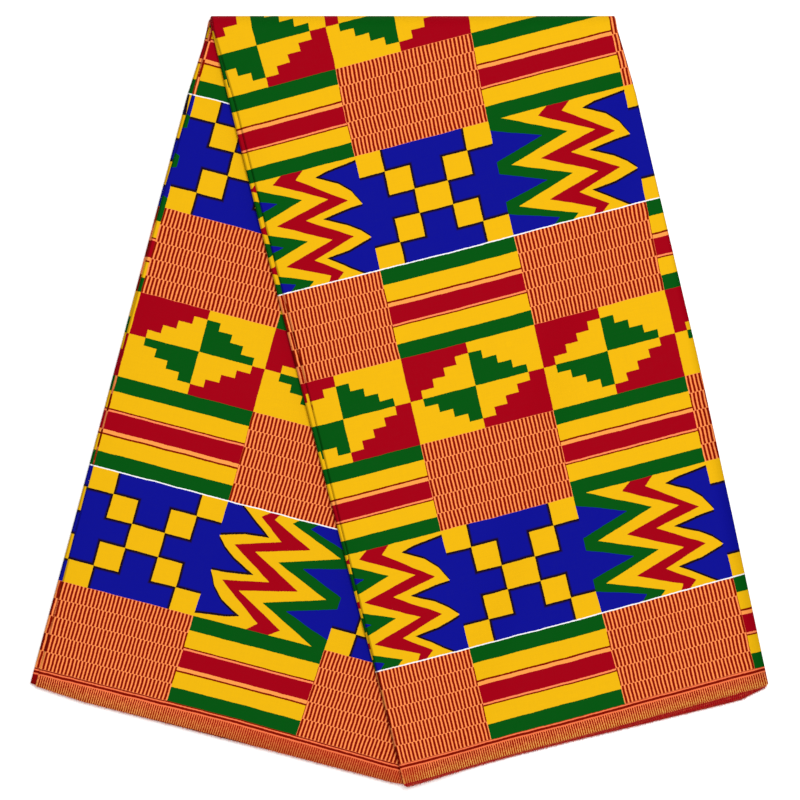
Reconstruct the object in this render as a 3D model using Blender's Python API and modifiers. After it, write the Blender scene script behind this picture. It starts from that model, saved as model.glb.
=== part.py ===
"""A cut length of printed cotton, pleated into a strip of eight layers and folded over once on the slant.

The cloth lies on a surface. The strip rises from the lower left (the back leg), turns over at the top,
and comes down to the lower right across itself (the front leg). Everything is one sheet, so it is one
solid: its mid-surface is a grid that a folding rule lays into place, and Solidify gives it its thickness.
"""

import math

import bmesh
import bpy

# The cloth, in metres
LAYERS = 8
STRIP_WIDTH = 0.298
CLOTH_WIDTH = 1.166
SHEET_THICKNESS = 0.0010
LAYER_GAP = 0.00035
LAYER_PITCH = SHEET_THICKNESS + LAYER_GAP

# How the strip is folded over
LEAN = math.radians(14.35)
BACK_REACH = 0.5695
TOP_RADIUS = LAYER_PITCH / 2
OUTER_RADIUS = TOP_RADIUS + (LAYERS - 1) * LAYER_PITCH
OUTER_ARC = math.pi * OUTER_RADIUS / math.cos(LEAN)
FRONT_REACH = CLOTH_WIDTH - BACK_REACH - OUTER_ARC
AXIS_HEIGHT = SHEET_THICKNESS / 2 + OUTER_RADIUS

# How far each layer runs on along the strip between the fold's crest and the start of a leg
TURN_SHIFT = OUTER_ARC / 4

# How the front leg comes down off the back leg
STACK_HEIGHT = LAYERS * LAYER_PITCH
SETTLE_START = 0.008
SETTLE_RUN = 0.056
SETTLE_LINES = (0.0, 0.25, 0.5, 0.75, 1.0)
LINE_SPACING = 0.003
LINE_MARGIN = 0.012

# Steps along the strip: angles round the top fold, then shares of each leg
TURN_ANGLES = (-90, -60, -30, 0, 30, 60, 90)
FRONT_STEPS = (0.025, 0.06, 0.11, 0.18, 0.27, 0.39, 0.53, 0.68, 0.84, 1.0)
BACK_STEPS = (0.05, 0.2, 0.4, 0.6, 0.8, 1.0)
PLEAT_POINTS = 3

# Each edge of the strip, from the inner layer's cut end to the outer layer's. The other columns say how far
# it lies to the right of its nominal line, in millimetres, at six places along the strip.
EDGE_PLACES = (-1.0, -0.5, -0.1, 0.1, 0.5, 1.0)
EDGE_COLUMNS = ("side", "back_end", "back_middle", "back_top", "front_top", "front_middle", "front_end")
EDGES = (
    ("right", 0.2, -1.8, 2.2, 9.8, 7.8, -1.2),
    ("left", -2.3, 2.0, 3.8, 9.3, 8.8, 6.3),
    ("right", -0.8, -0.3, 3.2, 11.8, 8.8, -2.2),
    ("left", -1.3, 3.2, 4.7, 8.8, 8.3, 5.3),
    ("right", -0.3, -1.3, 4.2, 13.3, 9.3, -0.7),
    ("left", -0.8, 2.7, 4.7, 3.5, 3.8, 4.5),
    ("right", -1.3, 0.2, 5.2, 13.8, 10.0, -1.7),
    ("left", -3.0, 2.8, 4.7, 7.8, 6.8, 3.3),
    ("right", -0.8, -0.8, 6.2, 15.0, 11.0, 0.3),
)

# How far each layer's woven edges reach past the nominal end of a leg, in millimetres, at the layer's left
# and right. The layers creep as they turn over the top, so they end one past the other like pages.
END_COLUMNS = ("back_left", "back_right", "front_left", "front_right")
ENDS = (
    (-1.0, 0.5, 5.5, 1.0),
    (-2.0, -0.5, 6.0, 2.5),
    (-1.5, -1.5, 4.5, 4.5),
    (-3.0, -1.0, 5.0, 4.0),
    (-2.5, -2.0, 3.0, 3.5),
    (-3.5, -2.5, 2.0, 2.5),
    (-2.0, -3.0, 0.5, 1.5),
    (-3.0, -3.5, 0.0, 0.0),
)

MILLIMETRE = 0.001
SIDE_SPOT = {"left": 0.0, "right": STRIP_WIDTH}


def clear_scene():
    """Empty the file of the objects that it opened with."""
    for item in list(bpy.data.objects):
        bpy.data.objects.remove(item, do_unlink=True)


def smooth(share):
    """Ease from 0 to 1, flat at both ends."""
    share = min(max(share, 0.0), 1.0)
    return share * share * (3 - 2 * share)


def edge_spot(index, along):
    """Where an edge of the strip lies across it, with along from -1 at the back end to 1 at the front end."""
    edge = dict(zip(EDGE_COLUMNS, EDGES[index]))
    drifts = [edge[name] for name in EDGE_COLUMNS[1:]]
    step = 0
    while step < len(EDGE_PLACES) - 2 and along > EDGE_PLACES[step + 1]:
        step += 1
    share = (along - EDGE_PLACES[step]) / (EDGE_PLACES[step + 1] - EDGE_PLACES[step])
    drift = drifts[step] + (drifts[step + 1] - drifts[step]) * share
    return SIDE_SPOT[edge["side"]] + drift * MILLIMETRE


def turn_radius(depth):
    """The radius at the top fold of a place that lies depth outside the inner layer."""
    return TOP_RADIUS + depth


def creep(layer, column):
    """How far a woven edge reaches past its nominal end. Round a pleat, layer lies between two layers."""
    below = min(int(layer), LAYERS - 2)
    place = END_COLUMNS.index(column)
    share = layer - below
    return (ENDS[below][place] * (1 - share) + ENDS[below + 1][place] * share) * MILLIMETRE


def leg_end(layer, across, leg):
    """How far along the strip a layer's woven edge lies from the top fold, on one leg."""
    share = across / STRIP_WIDTH
    reach = FRONT_REACH if leg == "front" else BACK_REACH
    skew = (STRIP_WIDTH / 2 - across) * math.tan(LEAN)
    past = creep(layer, f"{leg}_left") * (1 - share) + creep(layer, f"{leg}_right") * share
    return reach + (skew if leg == "front" else -skew) + past


def lean_x(across, shift):
    """Where a line along the strip lies on X, once the strip has run shift past the top fold's crest."""
    return (across - STRIP_WIDTH / 2) / math.cos(LEAN) + shift * math.sin(LEAN)


def settle_depth(x, run):
    """How far the front leg has come down at a place, once it is run past the axis of the top fold."""
    edge_x = lean_x(edge_spot(0, -0.5), -run / math.cos(LEAN) - TURN_SHIFT)
    clear = (x - edge_x) * math.cos(LEAN) - SETTLE_START
    return STACK_HEIGHT * smooth(clear / SETTLE_RUN) * smooth(run / SETTLE_RUN)


def fold_turn(across, depth, angle):
    """Lay a point of the strip in space round the top fold. Y is measured from the fold's axis."""
    radius = turn_radius(depth)
    x = lean_x(across, angle / (math.pi / 2) * TURN_SHIFT)
    return x, radius * math.cos(angle), AXIS_HEIGHT + radius * math.sin(angle)


def fold_leg(across, depth, along, leg):
    """Lay a point of the strip in space on one leg, along past the top fold."""
    radius = turn_radius(depth)
    run = along * math.cos(LEAN)
    if leg == "back":
        return lean_x(across, -along - TURN_SHIFT), -run, AXIS_HEIGHT - radius
    x = lean_x(across, along + TURN_SHIFT)
    return x, -run, AXIS_HEIGHT + radius - settle_depth(x, run)


def back_edge_line(share):
    """Where the back leg's right edge runs beneath the front leg's row, measured across the strip."""
    slant = math.sin(2 * LEAN)
    longest = FRONT_REACH + STRIP_WIDTH / 2 * math.tan(LEAN)
    return (STRIP_WIDTH - slant * (longest * share + TURN_SHIFT)) / (1 - slant * math.tan(LEAN) * share)


def across_lines(first, last, share):
    """Places across one layer: its edges, the lines of the slope down to the surface, and one each side."""
    spots = []
    for index, drop in enumerate(SETTLE_LINES):
        lowest = LINE_MARGIN + index * LINE_SPACING
        highest = STRIP_WIDTH - LINE_MARGIN - (len(SETTLE_LINES) - 1 - index) * LINE_SPACING
        spot = back_edge_line(max(share, 0.0)) + SETTLE_START + SETTLE_RUN * drop
        spots.append(min(max(spot, lowest), highest))
    left, right = min(first, last), max(first, last)
    lines = [left, (left + spots[0]) / 2, *spots, (spots[-1] + right) / 2, right]
    return lines if first < last else lines[::-1]


def column_count():
    """Lines of points along the strip: those of each layer, and those round each pleat."""
    return LAYERS * (len(SETTLE_LINES) + 4) + (LAYERS - 1) * PLEAT_POINTS


def section(leg, share, angle):
    """One row of points across all the layers, from the inner layer's cut end to the outer one's."""
    points = []

    def place(across, depth, layer):
        if leg == "turn":
            points.append(fold_turn(across, depth, math.radians(angle)))
        else:
            points.append(fold_leg(across, depth, leg_end(layer, across, leg) * share, leg))

    station = {"turn": 0.0, "front": share, "back": -share}[leg]
    for layer in range(LAYERS):
        depth = layer * LAYER_PITCH
        first = edge_spot(layer, station)
        last = edge_spot(layer + 1, station)
        for spot in across_lines(first, last, station):
            place(spot, depth, layer)
        if layer == LAYERS - 1:
            break
        outward = 1.0 if last > first else -1.0
        for step in range(1, PLEAT_POINTS + 1):
            turn = math.pi * step / (PLEAT_POINTS + 1)
            rise = (1 - math.cos(turn)) / 2
            bulge = outward * LAYER_PITCH / 2 * math.sin(turn)
            place(last + bulge, depth + LAYER_PITCH * rise, layer + rise)
    return points


def rows():
    """All rows of the sheet, from the back end over the top fold to the front end."""
    listed = [("back", share, 0) for share in reversed(BACK_STEPS)]
    listed += [("turn", 0.0, angle) for angle in TURN_ANGLES]
    listed += [("front", share, 0) for share in FRONT_STEPS]
    return [section(*row) for row in listed]


def cotton():
    """Printed cotton, in the print's mean colour."""
    material = bpy.data.materials.new("printed_cotton")
    material.use_nodes = True
    shader = material.node_tree.nodes["Principled BSDF"]
    shader.inputs["Base Color"].default_value = (0.62, 0.30, 0.02, 1.0)
    shader.inputs["Roughness"].default_value = 0.8
    shader.inputs["Metallic"].default_value = 0.0
    return material


def centre(points):
    """The middle of the footprint."""
    return [(min(p[axis] for p in points) + max(p[axis] for p in points)) / 2 for axis in (0, 1)]


def build_cloth(collection):
    """The whole sheet, as one solid standing on the surface with its footprint's middle at the origin."""
    sections = rows()
    columns = column_count()
    middle = centre([point for row in sections for point in row])
    sheet = bmesh.new()
    bmesh.ops.create_grid(sheet, x_segments=columns - 1, y_segments=len(sections) - 1, size=0.5)
    for vertex in sheet.verts:
        column = round((vertex.co.x + 0.5) * (columns - 1))
        row = round((vertex.co.y + 0.5) * (len(sections) - 1))
        x, y, z = sections[row][column]
        vertex.co = (x - middle[0], y - middle[1], z)
    bmesh.ops.triangulate(sheet, faces=sheet.faces[:], quad_method="SHORT_EDGE")
    mesh = bpy.data.meshes.new("cloth")
    sheet.to_mesh(mesh)
    sheet.free()
    mesh.shade_smooth()
    mesh.materials.append(cotton())
    cloth = bpy.data.objects.new("cloth", mesh)
    collection.objects.link(cloth)
    body = cloth.modifiers.new("Thickness", "SOLIDIFY")
    body.thickness = SHEET_THICKNESS
    body.offset = 0.0
    body.use_even_offset = True
    body.use_quality_normals = True
    return cloth


def main():
    clear_scene()
    collection = bpy.data.collections.new("ankara_fabric")
    bpy.context.scene.collection.children.link(collection)
    build_cloth(collection)


main()
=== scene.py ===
"""The look of a cut length of printed cotton, pleated into a flat strip and folded over once on the slant.

The cloth is one sheet of eight layers, laid by the same folding rule as its solid but thinner and finer. Its
print is built in shader nodes on the cloth's own measure: blocks along its length, rows across its width.
"""

import math

import bpy
import numpy as np
from bpy.props import FloatProperty, FloatVectorProperty, IntProperty, PointerProperty
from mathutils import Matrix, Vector, noise


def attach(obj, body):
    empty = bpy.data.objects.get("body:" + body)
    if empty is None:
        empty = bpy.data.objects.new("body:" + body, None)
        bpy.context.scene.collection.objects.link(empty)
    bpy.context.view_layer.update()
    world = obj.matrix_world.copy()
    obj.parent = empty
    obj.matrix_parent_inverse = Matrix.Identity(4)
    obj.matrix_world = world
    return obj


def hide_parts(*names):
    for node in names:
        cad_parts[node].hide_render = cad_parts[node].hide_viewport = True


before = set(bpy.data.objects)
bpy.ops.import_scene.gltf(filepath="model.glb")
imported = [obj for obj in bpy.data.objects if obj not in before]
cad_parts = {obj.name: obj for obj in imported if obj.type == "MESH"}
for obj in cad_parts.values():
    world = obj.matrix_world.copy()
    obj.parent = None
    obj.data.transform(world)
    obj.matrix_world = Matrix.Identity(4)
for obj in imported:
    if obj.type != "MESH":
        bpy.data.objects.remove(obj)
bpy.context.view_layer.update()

bl_info = {
    "name": "Folded printed cotton",
    "version": (1, 0, 0),
    "blender": (4, 5, 0),
    "location": "3D View > Sidebar > Folded cotton",
    "description": "Lays a length of printed cotton, pleated and folded over on the slant",
    "category": "Object",
}

MM = 0.001

# Where the middle of the top fold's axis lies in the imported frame, in metres
FOLD_AXIS = (0.0017418, 0.2895351)

# Each edge of the strip, from the inner layer's cut end to the outer layer's: the side it is on, then how far
# it lies to the right of its nominal line, in millimetres, at places from the back end to the front end.
EDGE_PLACES = (-1.0, -0.75, -0.5, -0.25, -0.1, 0.0, 0.1, 0.25, 0.5, 0.75, 1.0)
EDGES = (
    ("right", 0.2, -0.8, -1.8, 0.7, 2.2, 6.1, 8.2, 6.7, 4.3, -0.3, -5.6),
    ("left", 1.4, 1.6, 1.9, 2.7, 5.4, 6.5, 9.3, 9.1, 8.8, 7.6, 6.3),
    ("right", -0.8, -0.6, -0.3, 1.9, 3.2, 6.9, 9.0, 7.5, 5.1, 0.5, -4.8),
    ("left", -3.1, -1.3, 0.1, 1.1, 1.9, 5.0, 8.8, 8.6, 8.3, 6.8, 5.3),
    ("right", -0.3, -0.8, -1.3, 2.1, 4.2, 7.7, 9.8, 8.3, 5.9, 1.3, -4.0),
    ("left", -0.8, 1.2, 2.7, 3.7, 4.7, 3.8, 3.1, 2.4, 2.3, 2.7, 4.5),
    ("right", -1.3, -0.6, 0.2, 3.3, 5.2, 8.3, 10.4, 8.9, 6.5, 1.9, -3.4),
    ("left", -3.0, -0.1, 2.8, 4.0, 4.7, 5.0, 7.0, 6.6, 6.5, 5.0, 3.3),
    ("right", -0.8, -0.8, -0.8, 2.0, 5.0, 10.3, 12.4, 10.9, 8.5, 3.9, -1.4),
)

# Where the pleats inside the strip fall along the print, in millimetres, at the same places
PLEAT_PRINT = {
    2: (605.0,) * 11,
    3: (887.0, 887.0, 886.0, 886.0, 881.0, 880.0, 880.0, 880.0, 880.0, 880.0, 880.0),
    4: (1160.0,) * 11,
    5: (1438.0,) * 11,
    6: (1755.0,) * 11,
}

# Where the print's blocks meet on the two layers that show: the place along the print, then how far across
# the strip it lies, in millimetres, at shares of the leg from the top fold to its end
BLOCK_PLACES = (0.0, 0.05, 0.1, 0.2, 0.35, 0.5, 0.65, 0.8, 1.0)
FRONT_BLOCKS = {
    2042.5: (-19.7, -17.5, -14.1, -17.6, -19.5, -24.2, -24.8, -25.7, -28.3),
    2150.0: (89.2, 88.9, 86.6, 85.6, 82.6, 81.1, 79.0, 77.8, 76.6),
    2257.5: (198.0, 195.8, 194.2, 191.6, 190.0, 187.6, 185.9, 184.4, 184.7),
    2365.0: (303.5, 303.0, 302.0, 299.0, 294.9, 293.3, 291.8, 290.7, 289.0),
    2472.5: (410.0, 410.0, 408.0, 406.0, 401.9, 400.3, 398.8, 397.7, 396.0),
}
BACK_BLOCKS = {
    430.0: (-98.0, -98.5, -99.0, -99.5, -102.0, -104.0, -105.0, -106.0, -106.0),
    322.5: (8.2, 7.8, 7.3, 6.8, 4.6, 2.8, 2.0, 1.0, -0.8),
    215.0: (115.5, 115.5, 115.5, 115.0, 114.0, 112.4, 111.0, 107.8, 101.5),
    107.5: (222.0, 222.0, 222.0, 222.0, 221.0, 219.5, 218.0, 213.5, 205.6),
    0.0: (328.0, 328.0, 328.0, 328.0, 327.0, 326.0, 324.0, 319.0, 311.0),
}

# How far the woven edges reach past the nominal end of a leg, in millimetres, at places across the strip: the
# layer on top, then the longest of those beneath it, then each layer's share of the way from one to the
# other. The layers creep as they turn over the top, so they end one past the other like pages.
END_PLACES = (-5.0, 3.0, 20.0, 48.0, 94.0, 133.0, 160.0, 188.0, 227.0, 266.0, 281.0, 289.0, 298.0)
ENDS = {
    "back": (
        (-4.0, -3.2, -0.8, -0.7, -0.7, -0.7, -0.5, -0.4, -0.1, 0.1, 0.3, 0.3, -0.4),
        (-6.0, -5.2, -3.5, -2.2, -1.7, -1.7, -1.5, -1.4, -1.1, -0.9, -0.7, -1.0, -2.4),
        (0.0, 0.5, 0.3, 0.9, 0.6, 1.0, 0.7, 0.4),
    ),
    "front": (
        (6.0, 5.9, 5.6, 4.6, 3.8, 3.6, 3.3, 3.2, 1.5, 1.2, 1.0, 0.8, 0.5),
        (8.5, 8.3, 7.8, 6.8, 6.0, 6.2, 6.7, 7.2, 7.6, 8.0, 7.9, 6.0, 0.5),
        (0.8, 1.0, 0.6, 0.9, 0.5, 0.75, 0.35, 0.0),
    ),
}

# Where the print's rows fall on the cloth, in millimetres: the print's own measure, which is 0 at the upper
# white line of the front leg, then the distance from the top fold's crest at three places across the strip
ROW_COLUMNS = (20.0, 150.0, 285.0)
ROWS = (
    (-1382.0, -1200.0, -1200.0, -1200.0),
    (-766.5, -568.6, -567.8, -571.5),
    (-731.6, -533.6, -534.1, -535.0),
    (-696.7, -498.2, -499.0, -499.9),
    (-650.3, -450.7, -453.0, -452.8),
    (-604.0, -404.9, -405.9, -406.4),
    (-568.2, -368.0, -368.9, -369.2),
    (-532.5, -332.6, -333.5, -333.8),
    (-464.5, -264.7, -266.3, -266.5),
    (-394.7, -196.3, -199.0, -199.0),
    (-348.3, -150.5, -151.5, -151.5),
    (-302.0, -105.6, -105.6, -105.6),
    (-162.5, 34.4, 32.7, 32.6),
    (-127.6, 70.8, 68.5, 67.8),
    (-92.7, 103.5, 102.8, 101.6),
    (-46.3, 148.0, 148.7, 146.9),
    (0.0, 192.9, 193.8, 192.2),
    (35.7, 230.3, 230.1, 229.0),
    (71.5, 264.0, 264.6, 263.0),
    (105.5, 298.3, 298.5, 297.2),
    (139.5, 332.9, 332.4, 332.3),
    (174.4, 368.2, 367.5, 366.9),
    (209.3, 401.6, 401.3, 400.5),
    (255.6, 448.3, 449.1, 446.6),
    (302.0, 494.9, 495.4, 492.9),
    (337.7, 533.0, 532.7, 530.3),
    (373.5, 569.3, 568.4, 566.4),
    (993.0, 1200.0, 1200.0, 1200.0),
)

# The zigzag block's band edges: shares of the row's height, then of the block's width
ZIGZAG = {
    "notch": (
        (0.0, 0.0), (0.083, 0.0), (0.232, 0.36), (0.356, 0.0), (0.458, 0.0), (0.611, 0.334),
        (0.707, 0.0), (0.813, 0.0), (0.948, 0.36), (1.0, 0.31),
    ),
    "green": (
        (0.0, 0.095), (0.253, 0.545), (0.41, 0.1), (0.611, 0.523), (0.771, 0.084), (0.954, 0.5), (1.0, 0.45),
    ),
    "yellow": (
        (0.0, 0.43), (0.0625, 0.356), (0.3, 0.739), (0.42, 0.316), (0.65, 0.704), (0.779, 0.316),
        (0.946, 0.635), (1.0, 0.606),
    ),
    "red": (
        (0.0, 0.6), (0.071, 0.531), (0.354, 0.881), (0.435, 0.538), (0.665, 0.867), (0.785, 0.538),
        (0.942, 0.736), (1.0, 0.672),
    ),
    "outer": (
        (0.0, 1.0), (0.029, 1.0), (0.06, 0.775), (0.092, 0.676), (0.192, 0.836), (0.285, 0.920),
        (0.41, 0.982), (0.42, 0.87), (0.442, 0.75), (0.458, 0.665), (0.556, 0.836), (0.629, 0.927),
        (0.708, 0.991), (0.769, 0.815), (0.792, 0.632), (0.9, 0.763), (1.0, 0.885),
    ),
}

# The striped block: where each stripe starts, as a share of the row's height, and its dye
STRIPES = (
    (0.0, "green"), (0.166, "yellow"), (0.347, "rust"), (0.366, "orange"), (0.404, "red"),
    (0.601, "salmon"), (0.618, "rust"), (0.636, "yellow"), (0.832, "green"),
)

# The dashed block: courses in a row, then where a dash's core, edge and ground fade, as shares of the pitch
# from its middle, where a course ends, as a share of its height from its middle, and how far dashes sway
DASH_COURSES = 5.0
DASH_CORE = (0.17, 0.25)
DASH_EDGE = (0.27, 0.33)
DASH_GROUND = (0.36, 0.48)
COURSE_END = (0.475, 0.5)
DASH_SWAY = 0.15

# The stepped diamond's middle, as shares of the block and the row, and its steps
DIAMOND_MIDDLE = (0.487, 0.507)
DIAMOND_STEPS = 4.0

# The cross's squares, in metres from its middle: along, half its width, up, half its height
CROSS_SQUARES = (
    (0.0, 0.0134, 0.0, 0.0097),
    (0.0234, 0.0100, 0.0192, 0.0095),
    (0.0436, 0.0102, 0.0386, 0.0099),
)

# How far the zigzags' dark outline reaches, as a share of the squares' outline
ZIGZAG_OUTLINE = 0.7

# Where the borders along the two woven edges start on the print's own measure, and a place between them
FRONT_BORDER = 0.3735
BACK_BORDER = -0.7665
BETWEEN_BORDERS = -0.5

# The border, in metres past its start: the run of its fine lines, where each line starts as a share of that,
# where they stop, where the dashes turn yellower and how far that sways, where the rim starts, and how much
# its dashes show
LINE_RUN = 0.0100
LINE_STARTS = (0.0, 0.035, 0.135, 0.32, 0.43)
LINES_END = 0.0043
TURNS_YELLOW = (0.0100, 0.0145)
YELLOW_SWAY = 0.004
RIM_START = (0.0150, 0.0156)
RIM_DASH_SHARE = 0.6

# The border's fine dashes: their pitch in metres, where a dash ends as a share of it, and how far they sway
FINE_DASH_PITCH = 0.00183
FINE_DASH_EDGE = (0.26, 0.34)
FINE_DASH_SWAY = 0.30

# How much later the back leg's lines and rim start, and how much less yellow it turns
BACK_LINES_LATER = 0.0006
BACK_RIM_LATER = 0.0011
BACK_LESS_YELLOW = 0.45

# Places along the print where the border's dashes run together, beside the corner where the legs meet, and
# where a lower layer's border is tucked in
RUBBED_BACK = (0.240, 0.120)
RUBBED_FRONT = (2.096, 2.080)
FRONT_FROM = 1.9
RUBBED_SHARE = 0.45
TUCKED = (0.880, 0.892)

# How uneven the print's edges are: noise scales, then how far they drift and fray, in metres
COARSE_GRAIN = 60.0
FINE_GRAIN = 900.0
EDGE_DRIFT = 0.0011
EDGE_FRAY = 0.0006

# Painted shade along a crease, a dark line for the shade in the gap at each pleat: where it fades, in metres
# from the pleat, where the border ends it, in metres from the top fold's crest, and how dark it is
CREASE_FADE = (0.0001, 0.0006)
CREASE_END = (0.560, 0.575)
CREASE_SHADE = 0.6

# The weave: its pitch and heights in metres, the slubs' stretched scales, how much they show in the dyes, and
# the slubs at which the cloth would be a mirror and wholly dull
THREAD_PITCH = 0.0008
WEAVE_HEIGHT = 0.00003
SLUB_HEIGHT = 0.00010
SOFT_HEIGHT = 0.0012
SOFT_SCALE = 24.0
SLUB_SCALES = ((900.0, 90.0, 1.0), (80.0, 900.0, 1.0))
SLUB_SHADE = 0.07
SLUB_DULLNESS = (-1.5, 2.2)

# The yarn ends: sides, how far each tapers, how far it strays from straight out, its share of the reach, the
# scale of their patches of dye, where the dark yarns give way to the pale ones, and their dullness
YARN_SIDES = 3
YARN_TAPER = 0.35
YARN_STRAY = ((-0.45, -0.45, -0.06), (0.45, 0.45, 0.25))
YARN_LENGTHS = (0.35, 1.0)
YARN_PATCHES = 420.0
YARN_PALES = (0.42, 0.62)
YARN_DULLNESS = (-2.0, 1.2)

# How unevenly the layers lie: waves to a metre, which scatter of them, and their strength
SWELLS = ((11, 1.7, 1.0), (27, 5.1, 0.5))

# The stage: the lamp's place and side, the camera's sensor, and where its view centres on the cloth
KEY_PLACE = (0.25, 0.30, 2.8)
KEY_SIDE = 0.8
SENSOR_WIDTH = 36.0
VIEW_MIDDLE = (-0.0004, 0.0008)
CLOTH_HEIGHT = 0.012


def length(name, text, default):
    """A length property, in metres."""
    return FloatProperty(name=name, description=text, default=default, min=0.0, unit="LENGTH", precision=5)


def dye(name, text, default):
    """A colour property, in linear light."""
    return FloatVectorProperty(
        name=name, description=text, default=default, size=3, min=0, max=1, subtype="COLOR"
    )


class FoldSizes(bpy.types.PropertyGroup):
    """How the cloth is cut, pleated and folded over."""

    layers: IntProperty(name="Layers", description="Layers of the strip", default=8, min=2)
    strip_width: length("Strip width", "Width of the pleated strip", 0.298)
    cloth_width: length("Cloth width", "The cloth from woven edge to woven edge", 1.166)
    pitch: length("Layer pitch", "From the middle of one layer to the next", 0.00135)
    solid_sheet: length("Solid's sheet", "Thickness of the sheet in the solid", 0.001)
    sheet: length("Sheet", "Thickness of the cloth as it shows", 0.0007)
    lean: FloatProperty(
        name="Lean", description="How far each leg leans", default=math.radians(14.35), unit="ROTATION"
    )
    back_reach: length("Back reach", "The back leg, from the top fold to its end", 0.5695)
    settle_start: length("Drop start", "From the back leg's edge to where the front leg starts down", 0.008)
    settle_run: length("Drop run", "How far the front leg takes to come down", 0.056)
    loft: FloatProperty(name="Loft", description="How unevenly the layers lie", default=0.07, min=0, max=0.2)


class PrintSizes(bpy.types.PropertyGroup):
    """The print's own measure."""

    block: length("Block", "Width of one block of the print", 0.1075)
    striped_row: length("Row under the white line", "Height of the striped row under the white line", 0.0715)
    diamond_row: length("Diamond row", "Height of the row of stepped diamonds", 0.068)
    second_row: length("Row over the zigzags", "Height of the striped row over the zigzags", 0.0698)
    cross_row: length("Cross and zigzag row", "Height of the row of crosses and zigzags", 0.0927)
    dash_pitch: length("Dash pitch", "From one woven dash to the next", 0.00308)
    white_line: length("White line", "Width of the white line", 0.0009)
    outline: length("Outline", "Width of the dark outline round yellow on blue", 0.0026)
    step_width: length("Step width", "Width of a diamond's step", 0.0106)
    step_height: length("Step height", "Height of a diamond's step", 0.0065)


class PrintDyes(bpy.types.PropertyGroup):
    """The print's colours."""

    yellow: dye("Yellow", "Egg yellow of the stripes, squares and steps", (0.815, 0.445, 0.004))
    red: dye("Red", "Deep crimson of the bands and corners", (0.335, 0.000, 0.007))
    green: dye("Green", "Bottle green of the bands and steps", (0.001, 0.083, 0.005))
    blue: dye("Blue", "Ink blue of the panels", (0.004, 0.005, 0.270))
    orange: dye("Orange", "Orange of the fine lines", (0.980, 0.330, 0.070))
    salmon: dye("Salmon", "Paler orange where the lines pinch", (0.980, 0.250, 0.085))
    rust: dye("Rust", "Dark red of the woven dashes", (0.210, 0.004, 0.000))
    ember: dye("Ember", "Where the woven dashes bleed into the paler ground", (0.420, 0.026, 0.000))
    ink: dye("Ink", "Near-black of the outlines", (0.010, 0.003, 0.010))
    white: dye("White", "The thin white line", (0.900, 0.900, 0.930))


class BorderDyes(bpy.types.PropertyGroup):
    """The colours of the border along the woven edges."""

    line: dye("Line", "Orange between the fine dark lines", (0.920, 0.180, 0.065))
    dash: dye("Dash", "The fine dashes", (0.290, 0.002, 0.000))
    ground: dye("Ground", "Between the fine dashes", (1.000, 0.270, 0.080))
    yellow_dash: dye("Yellower dash", "The fine dashes near the woven edge", (0.500, 0.026, 0.001))
    yellow_ground: dye("Yellower ground", "Between them near the woven edge", (1.000, 0.480, 0.105))
    rubbed: dye("Rubbed", "Where the dashes run together", (0.470, 0.026, 0.008))
    rim_dash: dye("Rim dash", "Dark threads in the front leg's rim", (0.380, 0.001, 0.008))
    rim_ground: dye("Rim ground", "Between them", (0.640, 0.040, 0.022))
    # Painted shade: the back leg's rim is dyed dark for the shade at the edge of the stack
    painted_back_rim_shade: dye("Back rim", "The back leg's darker rim", (0.100, 0.012, 0.004))
    tucked: dye("Tucked", "Where a lower layer's border is tucked in", (0.260, 0.002, 0.002))
    yarn: dye("Yarn", "The darker yarn ends", (0.400, 0.004, 0.006))
    pale_yarn: dye("Pale yarn", "The paler yarn ends", (0.750, 0.120, 0.035))


class YarnSizes(bpy.types.PropertyGroup):
    """The short ends of yarn that stand out of the woven edges."""

    spacing: length("Spacing", "From one yarn end to the next", 0.0009)
    reach: length("Reach", "How far the longest yarn ends stand out", 0.0017)
    radius: length("Radius", "Radius of a yarn", 0.00018)
    seed: IntProperty(name="Seed", description="Which scatter of yarn ends", default=7)


class StageSizes(bpy.types.PropertyGroup):
    """The surface, the light and the camera."""

    floor: length("Floor", "Side of the surface", 6.0)
    view_width: length("View width", "Width of what the camera sees at the cloth", 0.6230)
    lens: FloatProperty(name="Lens", description="Focal length in millimetres", default=200.0, min=20)
    key: FloatProperty(
        name="Key", description="Strength of the large soft light", default=64.0, min=0, unit="POWER"
    )
    sky: FloatProperty(name="Sky", description="Strength of the even light all round", default=0.36, min=0)


# The folding rule


def smooth(share):
    """Ease from 0 to 1, flat at both ends."""
    share = min(max(share, 0.0), 1.0)
    return share * share * (3 - 2 * share)


def table_value(places, values, place):
    """A value read from a short table, by straight lines."""
    return float(np.interp(place, places, values))


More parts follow.
